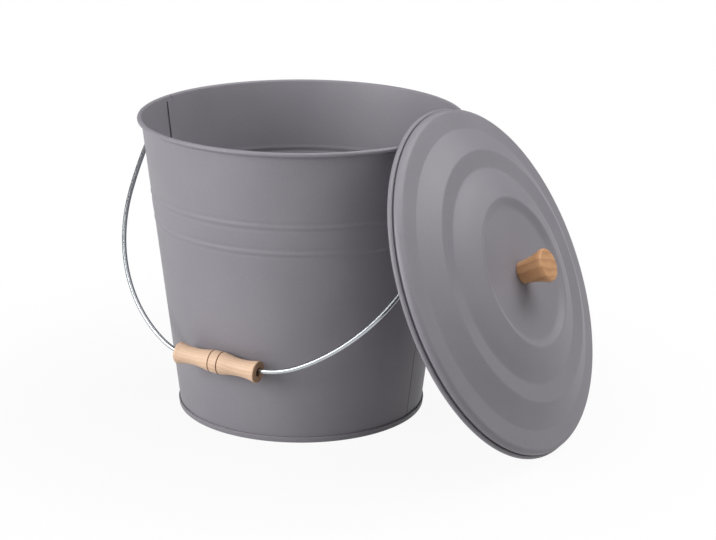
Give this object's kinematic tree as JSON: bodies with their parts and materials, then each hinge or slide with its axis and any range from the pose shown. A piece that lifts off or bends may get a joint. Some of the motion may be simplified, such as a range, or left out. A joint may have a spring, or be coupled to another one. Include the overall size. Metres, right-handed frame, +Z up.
{
  "type": "lidded ash bucket",
  "caption": "Tapered steel ash bucket with pressed ribs, a swinging wire bail with a turned wooden grip, and a stepped round lid with a wooden knob that leans on the rim.",
  "frame": {"origin": "middle of the foot ring's lower face, on the floor", "axes": "+Z up along the bucket's axis, +X through the bail's ear that the lid leans over, the bail rests on the wall at -Y"},
  "size_m": [0.4038, 0.3028, 0.2754],
  "materials": {
    "painted_steel": "matte grey powder coat",
    "plain_steel": "zinc plated",
    "zinc_wire": "bright zinc plated",
    "beech": "clear matt lacquer"
  },
  "bodies": {
    "bucket": {"wall_front": "painted_steel", "wall_back": "painted_steel", "rim_wire": "plain_steel", "bottom_panel": "painted_steel", "ear_left": "painted_steel", "ear_right": "painted_steel", "ear_left_rivets": "painted_steel", "ear_right_rivets": "painted_steel"},
    "bail": {"bail_wire": "zinc_wire"},
    "grip": {"bail_grip": "beech"},
    "lid": {"lid_panel": "painted_steel", "lid_knob": "beech", "knob_washer": "plain_steel", "knob_screw": "plain_steel"}
  },
  "joints": [
    {"name": "bail_swing", "type": "hinge", "parent": "bucket", "child": "bail", "pos_m": [0, 0, 0.2462], "axis": [-1, 0, 0], "range_deg": [0, 42]},
    {"name": "grip_spin", "type": "hinge", "parent": "bail", "child": "grip", "pos_m": [-0.0108, -0.12519, 0.07117], "axis": [0.999, -0.0254, -0.0356], "continuous": true},
    {"name": "lid_lift", "type": "slide", "parent": "bucket", "child": "lid", "axis": [0.9085, 0, 0.4179], "range_m": [0, 0.2]}
  ]
}
